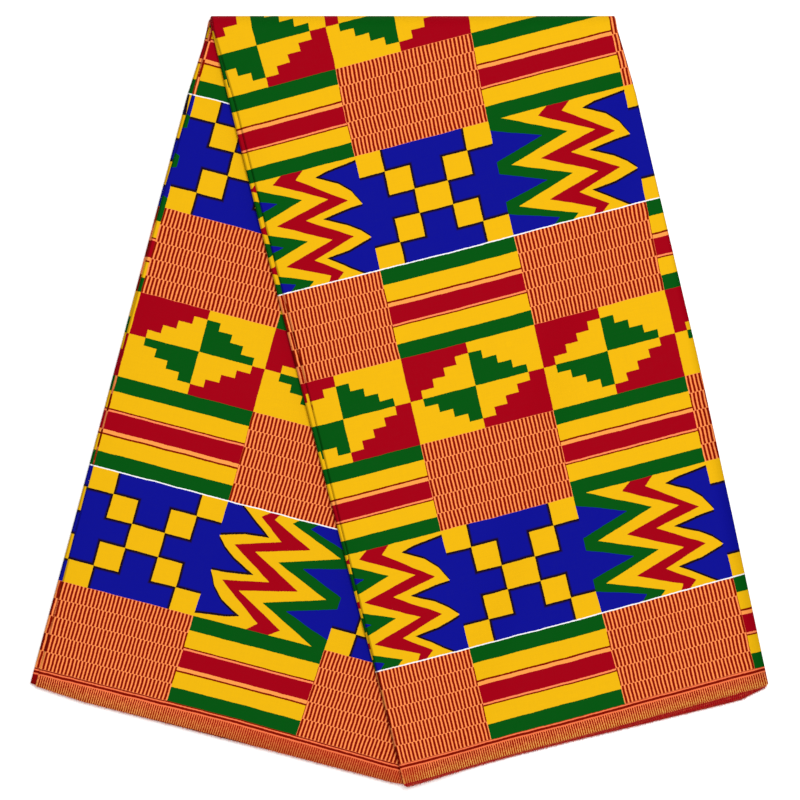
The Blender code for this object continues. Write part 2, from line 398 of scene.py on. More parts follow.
class Fold:
    """Lays any point of the strip in space, and says where it falls on the print."""

    def __init__(self, sizes):
        self.layers = sizes.layers
        self.width = sizes.strip_width
        self.pitch = sizes.pitch
        self.lean = sizes.lean
        self.back_reach = sizes.back_reach
        self.sheet = sizes.sheet
        self.settle_start = sizes.settle_start
        self.settle_run = sizes.settle_run
        self.loft = sizes.loft
        self.top_radius = self.pitch / 2
        self.outer_radius = self.top_radius + (self.layers - 1) * self.pitch
        self.arc = math.pi * self.outer_radius / math.cos(self.lean)
        self.front_reach = sizes.cloth_width - self.back_reach - self.arc
        self.turn_shift = self.arc / 4
        self.axis_height = sizes.solid_sheet / 2 + self.outer_radius
        self.solid_half = sizes.solid_sheet / 2
        self.drop = self.layers * self.pitch

    def edge_spot(self, index, along):
        """Where an edge of the strip lies across it, with along from -1 at the back end to 1 at the front."""
        side, *drifts = EDGES[index]
        start = 0.0 if side == "left" else self.width
        return start + table_value(EDGE_PLACES, drifts, along) * MM

    def block_print(self, blocks, across, along):
        """Where a place on one of the two layers that show falls along the print."""
        spots = [table_value(BLOCK_PLACES, places, abs(along)) for places in blocks.values()]
        pairs = sorted(zip(spots, blocks))
        return table_value([spot for spot, _ in pairs], [place for _, place in pairs], across / MM) * MM

    def edge_print(self, index, along):
        """Where an edge of the strip falls along the print."""
        if index <= 1:
            return self.block_print(BACK_BLOCKS, self.edge_spot(index, along), min(along, 0.0))
        if index >= self.layers - 1:
            return self.block_print(FRONT_BLOCKS, self.edge_spot(index, along), max(along, 0.0))
        return table_value(EDGE_PLACES, PLEAT_PRINT[index], along) * MM

    def creep(self, layer, across, leg):
        """How far a woven edge reaches past its nominal end. Round a pleat, layer lies between two layers."""
        upper, lower, shares = ENDS[leg]
        share = table_value(range(self.layers), shares, layer)
        top = table_value(END_PLACES, upper, across / MM)
        return (top + (table_value(END_PLACES, lower, across / MM) - top) * share) * MM

    def leg_end(self, layer, across, leg):
        """How far along the strip a layer's woven edge lies from the top fold, on one leg."""
        reach = self.front_reach if leg == "front" else self.back_reach
        skew = (self.width / 2 - across) * math.tan(self.lean)
        return reach + (skew if leg == "front" else -skew) + self.creep(layer, across, leg)

    def lean_x(self, across, shift):
        """Where a line along the strip lies on X, once the strip has run shift past the fold's crest."""
        return (across - self.width / 2) / math.cos(self.lean) + shift * math.sin(self.lean)

    def settle_depth(self, x, run):
        """How far the front leg has come down at a place, once it is run past the axis of the top fold."""
        edge_x = self.lean_x(self.edge_spot(0, -0.5), -run / math.cos(self.lean) - self.turn_shift)
        clear = (x - edge_x) * math.cos(self.lean) - self.settle_start
        return self.drop * smooth(clear / self.settle_run) * smooth(run / self.settle_run)

    def turn_point(self, across, depth, angle):
        """A point of the strip round the top fold."""
        radius = self.top_radius + depth
        x = self.lean_x(across, angle / (math.pi / 2) * self.turn_shift)
        return x, radius * math.cos(angle), self.axis_height + radius * math.sin(angle)

    def turned(self, angle):
        """How far past the crest the print has come at an angle round the top fold. Seen from above it runs
        on evenly to the very top, as it does on cloth that is thinner than this stack."""
        top = self.arc / 2 - self.outer_radius
        if angle > 0:
            return self.arc / 2 - self.outer_radius * math.cos(angle)
        return top + (top + self.arc / 2) * angle / (math.pi / 2)

    def leg_point(self, across, depth, along, leg):
        """A point of the strip on one leg, along past the top fold."""
        radius = self.top_radius + depth
        run = along * math.cos(self.lean)
        if leg == "back":
            return self.lean_x(across, -along - self.turn_shift), -run, self.axis_height - radius
        x = self.lean_x(across, along + self.turn_shift)
        return x, -run, self.axis_height + radius - self.settle_depth(x, run)

    def back_edge_line(self, share):
        """Where the back leg's right edge runs beneath the front leg's row, measured across the strip."""
        slant = math.sin(2 * self.lean)
        longest = self.front_reach + self.width / 2 * math.tan(self.lean)
        covered = slant * (longest * share + self.turn_shift)
        return (self.width - covered) / (1 - slant * math.tan(self.lean) * share)


# Lines of points across one layer: down the front leg's drop, on each side of it, and round a pleat
DROP_LINES = tuple(step / 10 for step in range(11))
LEFT_LINES = 7
RIGHT_LINES = 11
PLEAT_LINES = 5
LINE_SPACING = 0.0015
LINE_MARGIN = 0.010


def across_lines(fold, first, last, share):
    """Places across one layer: its edges, the lines of the front leg's drop, and even ones on each side."""
    spots = []
    for index, drop in enumerate(DROP_LINES):
        lowest = LINE_MARGIN + index * LINE_SPACING
        highest = fold.width - LINE_MARGIN - (len(DROP_LINES) - 1 - index) * LINE_SPACING
        spot = fold.back_edge_line(max(share, 0.0)) + fold.settle_start + fold.settle_run * drop
        spots.append(min(max(spot, lowest), highest))
    left, right = min(first, last), max(first, last)
    lines = list(np.linspace(left, spots[0], LEFT_LINES + 1))[:-1] + spots
    lines += list(np.linspace(spots[-1], right, RIGHT_LINES + 1))[1:]
    return lines if first < last else lines[::-1]


def cloth_section(fold, leg, share, angle):
    """One row of points across all the layers: place in space, on the print and on the cloth."""
    station = {"turn": 0.0, "front": share, "back": -share}[leg]
    lean = math.tan(fold.lean)
    points = []

    def put(across, depth, layer, print_u, cloth_u):
        slant = (across - fold.width / 2) * lean
        if leg == "turn":
            spot = fold.turn_point(across, depth, angle)
            crest = fold.turned(angle) + slant
        else:
            along = fold.leg_end(layer, across, leg) * share
            spot = fold.leg_point(across, depth, along, leg)
            crest = (along + fold.arc / 2) * (1 if leg == "front" else -1) + slant
        points.append((*spot, print_u, crest, cloth_u, across))

    for layer in range(fold.layers):
        depth = layer * fold.pitch
        first, last = fold.edge_spot(layer, station), fold.edge_spot(layer + 1, station)
        print_first, print_last = fold.edge_print(layer, station), fold.edge_print(layer + 1, station)
        for across in across_lines(fold, first, last, station):
            part = (across - first) / (last - first)
            if layer == 0:
                print_u = fold.block_print(BACK_BLOCKS, across, min(station, 0.0))
            elif layer == fold.layers - 1:
                print_u = fold.block_print(FRONT_BLOCKS, across, max(station, 0.0))
            else:
                print_u = print_first + (print_last - print_first) * part
            put(across, depth, layer, print_u, (layer + part) * fold.width)
        if layer == fold.layers - 1:
            break
        outward = 1.0 if last > first else -1.0
        for step in range(1, PLEAT_LINES + 1):
            turn = math.pi * step / (PLEAT_LINES + 1)
            rise = (1 - math.cos(turn)) / 2
            bulge = outward * fold.pitch / 2 * math.sin(turn)
            put(last + bulge, depth + fold.pitch * rise, layer + rise, print_last, (layer + 1) * fold.width)
    return points


# Rows of points along the strip. The front leg's are closer together near the top fold.
BACK_ROWS = 40
TURN_ROWS = 12
FRONT_ROWS = 44
FRONT_CROWDING = 1.25


def cloth_grid(fold):
    """The whole sheet as a grid: rows along the cloth's width, columns along its length."""
    rows = [("back", share, 0.0) for share in np.linspace(1.0, 0.0, BACK_ROWS + 1)[:-1]]
    rows += [("turn", 0.0, angle) for angle in np.linspace(-math.pi / 2, math.pi / 2, TURN_ROWS + 1)]
    rows += [("front", share, 0.0) for share in np.linspace(0.0, 1.0, FRONT_ROWS + 1) ** FRONT_CROWDING][1:]
    return np.array([cloth_section(fold, *row) for row in rows])


def settle(fold, points):
    """Centre the sheet, lay its lowest layer on the surface and let the layers lie unevenly."""
    points = points.copy()
    points[..., :2] += FOLD_AXIS
    height = points[..., 2] - fold.solid_half
    for index in np.ndindex(height.shape):
        x, y = points[index][:2]
        swells = (part * noise.noise(Vector((x * waves, y * waves, place))) for waves, place, part in SWELLS)
        height[index] *= 1 + fold.loft * sum(swells)
    points[..., 2] = np.maximum(height, 0.0) + fold.sheet / 2
    return points


def sheet_normals(points):
    """The direction that each grid point faces, on the printed side."""
    along = np.gradient(points[..., :3], axis=0)
    across = np.gradient(points[..., :3], axis=1)
    normal = np.cross(across, along)
    return normal / np.linalg.norm(normal, axis=-1, keepdims=True)


def row_print(crest, across):
    """Where places on the cloth fall on the print's own measure, across its rows."""
    prints = [row[0] for row in ROWS]
    found = [np.interp(crest / MM, [row[column] for row in ROWS], prints) for column in (1, 2, 3)]
    left, middle, right = ROW_COLUMNS
    first = np.clip((across / MM - left) / (middle - left), 0, 1)
    second = np.clip((across / MM - middle) / (right - middle), 0, 1)
    return (found[0] * (1 - first) + found[1] * (first - second) + found[2] * second) * MM


# Meshes and trees


def plain_object(name, mesh):
    """An object at the origin, in the scene."""
    made = bpy.data.objects.new(name, mesh)
    bpy.context.scene.collection.objects.link(made)
    return made


def cloth_mesh(fold):
    """The sheet as one closed mesh, with the print's, the cloth's and the bake's own maps."""
    flat = cloth_grid(fold)
    points = settle(fold, flat)
    rows, columns = points.shape[:2]
    normal = sheet_normals(points)
    faces_up = points[..., :3] + normal * fold.sheet / 2
    faces_down = points[..., :3] - normal * fold.sheet / 2
    vertices = np.concatenate([faces_up.reshape(-1, 3), faces_down.reshape(-1, 3)])
    count = rows * columns
    index = np.arange(count).reshape(rows, columns)
    upper = np.stack([index[:-1, :-1], index[:-1, 1:], index[1:, 1:], index[1:, :-1]], axis=-1).reshape(-1, 4)
    lower = upper[:, ::-1] + count
    rim = np.concatenate([index[0, :], index[1:, -1], index[-1, -2::-1], index[-2:0:-1, 0]])
    after = np.roll(rim, -1)
    edge = np.stack([after, rim, rim + count, after + count], axis=-1)
    faces = np.concatenate([upper, lower, edge])
    mesh = bpy.data.meshes.new("folded_cotton")
    mesh.from_pydata(vertices.tolist(), [], faces.tolist())
    corner = faces.reshape(-1)
    grid = corner % count
    at_print = row_print(flat[..., 4], flat[..., 6])
    maps = {
        "Print": np.stack([flat[..., 3].reshape(-1)[grid], at_print.reshape(-1)[grid]], axis=-1),
        "Cloth": np.stack([flat[..., 5].reshape(-1)[grid], flat[..., 4].reshape(-1)[grid]], axis=-1),
        "OFBake": bake_map(fold, faces, rows, columns, len(upper)),
    }
    for name, places in maps.items():
        layer = mesh.uv_layers.new(name=name)
        layer.data.foreach_set("uv", places.astype(np.float32).reshape(-1))
    mesh.polygons.foreach_set("use_smooth", [True] * len(faces))
    mesh.update()
    mesh.validate()
    return mesh


# The atlas that finishes are baked to: its margin, the top of its two large boxes, the foot and top of its
# narrow ones, how much of its place a narrow one fills, and where the rim's faces lie across theirs
BAKE_MARGIN = 0.005
BAKE_SHOWN_TOP = 0.845
BAKE_NARROW = (0.86, 0.985)
BAKE_FILL = 0.9
BAKE_RIM = np.array([0.3, 0.3, 0.7, 0.7])


def bake_boxes(fold):
    """Each side, layer and leg's box on the atlas, and the rim's. The outer layer's front leg and the inner
    layer's back leg show, so they get most of it, and all else has a narrow box of its own."""
    start, end = BAKE_MARGIN, 1 - BAKE_MARGIN
    legs = ("back", "front")
    slots = [(side, layer, leg) for side in (0, 1) for layer in range(fold.layers) for leg in legs]
    boxes = {
        (0, 0, "back"): (start, start, 0.5 - BAKE_MARGIN, BAKE_SHOWN_TOP),
        (0, fold.layers - 1, "front"): (0.5 + BAKE_MARGIN, start, end, BAKE_SHOWN_TOP),
    }
    narrow = [slot for slot in slots if slot not in boxes]
    wide = (end - start) / (len(narrow) + 1)
    low, high = BAKE_NARROW
    for number, slot in enumerate(narrow):
        boxes[slot] = (start + number * wide, low, start + (number + BAKE_FILL) * wide, high)
    boxes["rim"] = (start + len(narrow) * wide, low, end, high)
    return boxes


def bake_map(fold, faces, rows, columns, side_faces):
    """Where each face's corners lie on the atlas that finishes are baked to."""
    per_layer = LEFT_LINES + len(DROP_LINES) + RIGHT_LINES + PLEAT_LINES
    crest = BACK_ROWS + TURN_ROWS // 2
    boxes = bake_boxes(fold)
    places = np.zeros((len(faces), 4, 2))
    for number, face in enumerate(faces):
        grid = face % (rows * columns)
        row, column = grid // columns, grid % columns
        if number >= 2 * side_faces:
            left, low, right, high = boxes["rim"]
            spread = BAKE_RIM
            reach = (number - 2 * side_faces) / (len(faces) - 2 * side_faces)
        else:
            side = 0 if number < side_faces else 1
            layer = min(int(column.min() // per_layer), fold.layers - 1)
            leg = "back" if row.min() < crest else "front"
            left, low, right, high = boxes[(side, layer, leg)]
            spread = (column - layer * per_layer) / per_layer
            reach = row / crest if leg == "back" else (row - crest) / (rows - 1 - crest)
        places[number, :, 0] = left + (right - left) * spread
        places[number, :, 1] = low + (high - low) * reach
    return places


class Wires:
    """Adds nodes to a tree and joins them, so that a finish reads as sums and choices."""

    def __init__(self, tree):
        self.tree = tree

    def node(self, kind, **settings):
        made = self.tree.nodes.new(kind)
        for name, value in settings.items():
            setattr(made, name, value)
        return made

    def join(self, source, socket):
        if isinstance(source, bpy.types.NodeSocket):
            self.tree.links.new(source, socket)
        else:
            socket.default_value = source

    def math(self, operation, *values):
        made = self.node("ShaderNodeMath", operation=operation)
        for socket, value in zip(made.inputs, values):
            self.join(value, socket)
        return made.outputs[0]

    def add(self, a, b):
        return self.math("ADD", a, b)

    def minus(self, a, b):
        return self.math("SUBTRACT", a, b)

    def over(self, a, b):
        return self.math("DIVIDE", a, b)

    def times(self, *values):
        result = values[0]
        for value in values[1:]:
            result = self.math("MULTIPLY", result, value)
        return result

    def apart(self, a, b):
        """How far a is from b, either way."""
        return self.math("ABSOLUTE", self.minus(a, b))

    def parts(self, place):
        """A place's first two numbers."""
        made = self.node("ShaderNodeSeparateXYZ")
        self.join(place, made.inputs[0])
        return made.outputs[0], made.outputs[1]

    def less(self, a, b):
        return self.math("LESS_THAN", a, b)

    def more(self, a, b):
        return self.math("GREATER_THAN", a, b)

    def opposite(self, value):
        return self.math("SUBTRACT", 1.0, value)

    def ramp(self, value, low, high):
        """0 at low, 1 at high, and straight between."""
        made = self.node("ShaderNodeMapRange")
        for socket, given in zip(("Value", "From Min", "From Max"), (value, low, high)):
            self.join(given, made.inputs[socket])
        return made.outputs[0]

    def paint(self, share, under, over):
        """The over colour where share is 1, and the under colour where it is 0."""
        made = self.node("ShaderNodeMix", data_type="RGBA")
        self.join(share, made.inputs[0])
        self.join(colour(under), made.inputs[6])
        self.join(colour(over), made.inputs[7])
        return made.outputs[2]

    def noise(self, place, scale, detail=2.0):
        made = self.node("ShaderNodeTexNoise", noise_dimensions="3D")
        self.join(place, made.inputs["Vector"])
        made.inputs["Scale"].default_value = scale
        made.inputs["Detail"].default_value = detail
        return made.outputs["Fac"]

    def stretched(self, place, scale):
        made = self.node("ShaderNodeMapping")
        self.join(place, made.inputs["Vector"])
        made.inputs["Scale"].default_value = scale
        return made.outputs[0]

    def curve(self, value, points):
        """A value that follows straight lines between points."""
        made = self.node("ShaderNodeFloatCurve")
        line = made.mapping.curves[0]
        line.points[0].location = points[0]
        line.points[-1].location = points[-1]
        for point in points[1:-1]:
            line.points.new(*point)
        for point in line.points:
            point.handle_type = "VECTOR"
        made.mapping.update()
        self.join(value, made.inputs["Value"])
        return made.outputs[0]

    def bands(self, value, stops):
        """Flat bands of colour, each from its stop to the next."""
        made = self.node("ShaderNodeValToRGB")
        made.color_ramp.interpolation = "CONSTANT"
        steps = made.color_ramp.elements
        while len(steps) < len(stops):
            steps.new(0.5)
        for step, (place, _) in zip(steps, stops):
            step.position = place
        for step, (_, shade) in zip(steps, stops):
            step.color = colour(shade)
        self.join(value, made.inputs[0])
        return made.outputs[0]


def colour(value):
    """A colour as a socket takes it. A socket or a full colour is passed on as it is."""
    if isinstance(value, bpy.types.NodeSocket) or len(value) == 4:
        return value
    return (*value, 1.0)


def striped(wires, row_share, dyes):
    """Green, yellow and red stripes along the row, with fine lines each side of the red."""
    return wires.bands(row_share, [(start, getattr(dyes, name)) for start, name in STRIPES])


def dashed(wires, u, row_share, grain, sizes, dyes):
    """Courses of fine dashes across the row, each course half a dash on from the last."""
    course = wires.times(row_share, DASH_COURSES)
    half = wires.times(wires.math("MODULO", wires.math("FLOOR", course), 2.0), 0.5)
    count = wires.add(wires.over(u, sizes.dash_pitch), half)
    sway = wires.times(wires.minus(grain, 0.5), DASH_SWAY)
    off_middle = wires.apart(wires.math("FRACT", wires.add(count, sway)), 0.5)
    ends = wires.apart(wires.math("FRACT", course), 0.5)
    ground = wires.paint(wires.ramp(off_middle, *DASH_GROUND), dyes.salmon, dyes.orange)
    dash = wires.paint(wires.ramp(off_middle, *DASH_CORE), dyes.rust, dyes.ember)
    dash = wires.paint(wires.ramp(off_middle, *DASH_EDGE), dash, ground)
    return wires.paint(wires.ramp(ends, *COURSE_END), dash, ground)


def diamond(wires, local, rise, sizes, dyes):
    """A stepped diamond whose quarters change colour: green steps on yellow, and yellow steps on red."""
    side = wires.minus(local, sizes.block * DIAMOND_MIDDLE[0])
    height = wires.minus(rise, sizes.diamond_row * DIAMOND_MIDDLE[1])
    same = wires.more(wires.times(side, height), 0.0)
    step = wires.math("FLOOR", wires.over(wires.math("ABSOLUTE", side), sizes.step_width))
    reach = wires.times(wires.minus(DIAMOND_STEPS, step), sizes.step_height)
    inside = wires.less(wires.math("ABSOLUTE", height), reach)
    warm = wires.paint(inside, dyes.red, dyes.yellow)
    cool = wires.paint(inside, dyes.yellow, dyes.green)
    return wires.paint(same, cool, warm)


def cross(wires, local, rise, sizes, dyes):
    """A cross of yellow squares on blue, outlined, with a wider square in the middle."""
    side = wires.apart(local, sizes.block / 2)
    height = wires.apart(rise, sizes.cross_row / 2)
    gap = None
    for along, half_wide, up, half_high in CROSS_SQUARES:
        beyond_side = wires.minus(wires.apart(side, along), half_wide)
        beyond_top = wires.minus(wires.apart(height, up), half_high)
        here = wires.math("MAXIMUM", beyond_side, beyond_top)
        gap = here if gap is None else wires.math("MINIMUM", gap, here)
    ground = wires.paint(wires.ramp(gap, sizes.outline * 0.5, sizes.outline), dyes.ink, dyes.blue)
    return wires.paint(wires.less(gap, 0.0), ground, dyes.yellow)


def zigzag(wires, local, row_share, sizes, dyes):
    """Green, yellow, red and yellow zigzag bands on blue."""
    across = wires.over(local, sizes.block)
    lines = {name: wires.curve(row_share, points) for name, points in ZIGZAG.items()}
    shift = sizes.outline * ZIGZAG_OUTLINE / sizes.cross_row
    over = wires.curve(wires.add(row_share, shift), ZIGZAG["outer"])
    under = wires.curve(wires.minus(row_share, shift), ZIGZAG["outer"])
    near = wires.math("MAXIMUM", over, under)
    shade = wires.paint(wires.less(across, near), dyes.blue, dyes.ink)
    bands = {
        "outer": dyes.yellow,
        "red": dyes.red,
        "yellow": dyes.yellow,
        "green": dyes.green,
        "notch": dyes.blue,
    }
    for name, band in bands.items():
        shade = wires.paint(wires.less(across, lines[name]), shade, band)
    return shade


def woven_border(wires, u, past, on_back, grain, dyes, border):
    """The border along a woven edge: fine lines, then fine dashes that turn yellower, then the rim at the
    very edge, red on the front leg, and on the back one dark with painted shade for the stack's edge."""
    sway = wires.times(grain, FINE_DASH_SWAY)
    phase = wires.math("FRACT", wires.add(wires.over(u, FINE_DASH_PITCH), sway))
    dash = wires.ramp(wires.apart(phase, 0.5), *FINE_DASH_EDGE)
    yellower = wires.ramp(wires.add(past, wires.times(grain, YELLOW_SWAY)), *TURNS_YELLOW)
    yellower = wires.times(yellower, wires.opposite(wires.times(on_back, BACK_LESS_YELLOW)))
    pale = wires.paint(yellower, border.ground, border.yellow_ground)
    dark = wires.paint(yellower, border.dash, border.yellow_dash)
    dashes = wires.paint(dash, dark, pale)

    rubbed_back = wires.times(on_back, wires.ramp(u, *RUBBED_BACK))
    rubbed_front = wires.times(wires.more(u, FRONT_FROM), wires.ramp(u, *RUBBED_FRONT))
    rubbed = wires.times(wires.math("MAXIMUM", rubbed_back, rubbed_front), RUBBED_SHARE)
    dashes = wires.paint(rubbed, dashes, border.rubbed)
    threads = wires.paint(wires.times(dash, RIM_DASH_SHARE), border.rim_dash, border.rim_ground)
    # The front leg's rim shows its red threads; on the back leg the rim is painted shade for the stack's edge
    rim = wires.paint(on_back, threads, border.painted_back_rim_shade)
    edge = wires.minus(past, wires.times(on_back, BACK_RIM_LATER))
    dashes = wires.paint(wires.ramp(edge, *RIM_START), dashes, rim)
    tucked = wires.times(wires.more(u, TUCKED[0]), wires.less(u, TUCKED[1]))
    dashes = wires.paint(tucked, dashes, border.tucked)

    past = wires.minus(past, wires.times(on_back, BACK_LINES_LATER))
    by_turns = [(start, border.line if number % 2 else dyes.rust) for number, start in enumerate(LINE_STARTS)]
    lines = wires.bands(wires.over(past, LINE_RUN), by_turns)
    return wires.paint(wires.more(past, LINES_END), lines, dashes)


def print_place(wires):
    """Where a place falls along the print and up it, with uneven edges, and the grain that makes them so."""
    place = wires.node("ShaderNodeUVMap", uv_map="Print").outputs[0]
    coarse = wires.noise(place, COARSE_GRAIN)
    fine = wires.noise(place, FINE_GRAIN, 1.0)
    along, up = wires.parts(place)
    drift = wires.times(wires.minus(coarse, 0.5), EDGE_DRIFT)
    fray = wires.times(wires.minus(fine, 0.5), EDGE_FRAY)
    u = wires.add(along, wires.add(drift, fray))
    v = wires.add(up, wires.minus(fray, drift))
    return u, v, coarse, fine


def print_colour(wires, sizes, dyes, border):
    """The whole print: rows that repeat up the cloth, of stripes and dashes by turns, diamonds, stripes and
    dashes again, then crosses and zigzags by turns, with a border along each woven edge."""
    u, v, coarse, fine = print_place(wires)
    block = wires.over(u, sizes.block)
    number = wires.math("FLOOR", block)
    local = wires.times(wires.minus(block, number), sizes.block)
    odd = wires.math("PINGPONG", number, 1.0)

    heights = (sizes.striped_row, sizes.diamond_row, sizes.second_row, sizes.cross_row)
    diamonds_start, second_start, cross_start, repeat = np.cumsum(heights).tolist()
    turn = wires.math("WRAP", v, repeat, 0.0)
    first = wires.ramp(turn, 0.0, diamonds_start)
    second = wires.ramp(turn, second_start, cross_start)
    in_second = wires.times(wires.more(turn, second_start), wires.less(turn, cross_start))
    row_share = wires.add(wires.times(first, wires.opposite(in_second)), wires.times(second, in_second))
    stripes = striped(wires, row_share, dyes)
    dashes = dashed(wires, u, row_share, coarse, sizes, dyes)
    shade = wires.paint(wires.apart(odd, in_second), stripes, dashes)

    diamonds = diamond(wires, local, wires.minus(turn, diamonds_start), sizes, dyes)
    in_diamonds = wires.times(wires.more(turn, diamonds_start), wires.less(turn, second_start))
    shade = wires.paint(in_diamonds, shade, diamonds)

    crosses = cross(wires, local, wires.minus(turn, cross_start), sizes, dyes)
    zigzags = zigzag(wires, local, wires.ramp(turn, cross_start, repeat), sizes, dyes)
    panel = wires.paint(odd, crosses, zigzags)
    shade = wires.paint(wires.more(turn, cross_start), shade, panel)

    near_line = wires.math("MINIMUM", turn, wires.minus(repeat, turn))
    shade = wires.paint(wires.less(near_line, sizes.white_line / 2), shade, dyes.white)
    past = wires.math("MAXIMUM", wires.minus(v, FRONT_BORDER), wires.minus(BACK_BORDER, v))
    on_back = wires.less(v, BETWEEN_BORDERS)
    woven = woven_border(wires, u, past, on_back, fine, dyes, border)
    return wires.paint(wires.more(past, 0.0), shade, woven)


def painted_crease_shade(wires, cloth, fold):
    """1 on the open cloth and in the borders, and darker along each sharp pleat: painted shade for its gap.
    """
    along, crest = wires.parts(cloth)
    near = wires.math("PINGPONG", along, fold.width)
    gap = wires.math("MINIMUM", near, wires.minus(fold.width, near))
    in_border = wires.ramp(wires.math("ABSOLUTE", crest), *CREASE_END)
    open_cloth = wires.math("MAXIMUM", wires.ramp(gap, *CREASE_FADE), in_border)
    return wires.add(CREASE_SHADE, wires.times(open_cloth, 1 - CREASE_SHADE))


def cotton_relief(wires, cloth, slubs):
    """The plain weave, its slubs and the cloth's soft unevenness, as a height."""
    waves = math.tau / THREAD_PITCH
    warp, weft = (wires.math("SINE", wires.times(part, waves)) for part in wires.parts(cloth))
    soft = wires.noise(cloth, SOFT_SCALE, 3.0)
    woven = wires.add(wires.times(warp, weft, WEAVE_HEIGHT), wires.times(slubs, SLUB_HEIGHT))
    return wires.add(woven, wires.times(soft, SOFT_HEIGHT))


def new_finish(name):
    """A material with its wires and its shader."""
    material = bpy.data.materials.new(name)
    material.use_nodes = True
    return material, Wires(material.node_tree), material.node_tree.nodes["Principled BSDF"]


def cotton_finish(sizes, dyes, border, fold):
    """Printed cotton: the print, a little unevenly dyed, with painted shade along each pleat, on a matt plain
    weave.
    """
    material, wires, shader = new_finish("printed_cotton")
    shade = print_colour(wires, sizes, dyes, border)
    cloth = wires.node("ShaderNodeUVMap", uv_map="Cloth").outputs[0]
    slubs = wires.add(*(wires.noise(wires.stretched(cloth, scale), 1.0) for scale in SLUB_SCALES))
    wear = wires.add(1 - SLUB_SHADE, wires.times(slubs, SLUB_SHADE))
    tone = wires.node("ShaderNodeVectorMath", operation="SCALE")
    wires.join(shade, tone.inputs[0])
    # Slubs dye the print unevenly, and painted shade darkens it along each pleat
    wires.join(wires.times(wear, painted_crease_shade(wires, cloth, fold)), tone.inputs["Scale"])
    wires.join(tone.outputs[0], shader.inputs["Base Color"])
    bump = wires.node("ShaderNodeBump")
    bump.inputs["Distance"].default_value = 1.0
    bump.inputs["Strength"].default_value = 0.5
    wires.join(cotton_relief(wires, cloth, slubs), bump.inputs["Height"])
    wires.join(bump.outputs[0], shader.inputs["Normal"])
    wires.join(wires.ramp(slubs, *SLUB_DULLNESS), shader.inputs["Roughness"])
    shader.inputs["Specular IOR Level"].default_value = 0.02
    return material


def yarn_finish(border):
    """The dyed ends of yarn along a woven edge, some rust and some orange."""
    material, wires, shader = new_finish("yarn_ends")
    patch = wires.noise(wires.node("ShaderNodeTexCoord").outputs["Object"], YARN_PATCHES)
    shade = wires.paint(wires.ramp(patch, *YARN_PALES), border.yarn, border.pale_yarn)
    wires.join(shade, shader.inputs["Base Color"])
    wires.join(wires.ramp(patch, *YARN_DULLNESS), shader.inputs["Roughness"])
    return material


def tree_input(tree, name, kind, default):
    """A named input of a Geometry Nodes tree."""
    made = tree.interface.new_socket(name, in_out="INPUT", socket_type=kind)
    if default is not None:
        made.default_value = default
    return made.identifier


def yarn_shape(wires, given):
    """One yarn end, a thin taper."""
    cone = wires.node("GeometryNodeMeshCone", fill_type="NONE")
    cone.inputs["Vertices"].default_value = YARN_SIDES
    wires.join(given["Radius"], cone.inputs["Radius Bottom"])
    wires.join(wires.times(given["Radius"], YARN_TAPER), cone.inputs["Radius Top"])
    wires.join(given["Reach"], cone.inputs["Depth"])
    return cone.outputs[0]


def yarn_heading(wires, given):
    """Straight out of the woven edge, and a little astray."""
    outward = wires.node("GeometryNodeInputNamedAttribute", data_type="FLOAT_VECTOR")
    outward.inputs["Name"].default_value = "outward"
    stray = wires.node("FunctionNodeRandomValue", data_type="FLOAT_VECTOR")
    stray.inputs[0].default_value, stray.inputs[1].default_value = YARN_STRAY
    wires.join(given["Seed"], stray.inputs["Seed"])
    heading = wires.node("ShaderNodeVectorMath", operation="ADD")
    wires.join(outward.outputs[0], heading.inputs[0])
    wires.join(stray.outputs[0], heading.inputs[1])
    aim = wires.node("FunctionNodeAlignRotationToVector", axis="Z")
    wires.join(heading.outputs[0], aim.inputs["Vector"])
    return aim.outputs[0]


def yarn_scale(wires, given):
    """Each yarn end's own share of the full reach."""
    share = wires.node("FunctionNodeRandomValue", data_type="FLOAT")
    share.inputs[2].default_value, share.inputs[3].default_value = YARN_LENGTHS
    wires.join(wires.add(given["Seed"], 1.0), share.inputs["Seed"])
    scale = wires.node("ShaderNodeCombineXYZ")
    for socket in scale.inputs[:2]:
        socket.default_value = 1.0
    wires.join(share.outputs[1], scale.inputs[2])
    return scale.outputs[0]


def yarn_tree(material, sizes):
    """Short tapered yarn ends along a line, each pointing where the line's outward attribute says."""
    tree = bpy.data.node_groups.new("Yarn ends", "GeometryNodeTree")
    tree_input(tree, "Line", "NodeSocketGeometry", None)
    names = {}
    for name in ("Spacing", "Reach", "Radius", "Seed"):
        kind = "NodeSocketInt" if name == "Seed" else "NodeSocketFloat"
        names[name] = tree_input(tree, name, kind, getattr(sizes, name.lower()))
    tree.interface.new_socket("Yarns", in_out="OUTPUT", socket_type="NodeSocketGeometry")
    wires = Wires(tree)
    given = wires.node("NodeGroupInput").outputs
    result = wires.node("NodeGroupOutput")

    line = wires.node("GeometryNodeMeshToCurve")
    wires.join(given["Line"], line.inputs[0])
    spaced = wires.node("GeometryNodeResampleCurve", mode="LENGTH")
    wires.join(line.outputs[0], spaced.inputs["Curve"])
    wires.join(given["Spacing"], spaced.inputs["Length"])
    placed = wires.node("GeometryNodeInstanceOnPoints")
    wires.join(spaced.outputs[0], placed.inputs["Points"])
    wires.join(yarn_shape(wires, given), placed.inputs["Instance"])
    wires.join(yarn_heading(wires, given), placed.inputs["Rotation"])
    wires.join(yarn_scale(wires, given), placed.inputs["Scale"])
    real = wires.node("GeometryNodeRealizeInstances")
    wires.join(placed.outputs[0], real.inputs[0])
    finish = wires.node("GeometryNodeSetMaterial")
    finish.inputs["Material"].default_value = material
    wires.join(real.outputs[0], finish.inputs[0])
    wires.join(finish.outputs[0], result.inputs[0])
    return tree, names


def plain_mesh(piece, name):
    """The evaluated piece as a plain mesh on a new object. The old one is removed."""
    graph = bpy.context.evaluated_depsgraph_get()
    mesh = bpy.data.meshes.new_from_object(piece.evaluated_get(graph))
    bpy.data.objects.remove(piece)
    mesh.name = name
    return plain_object(name, mesh)


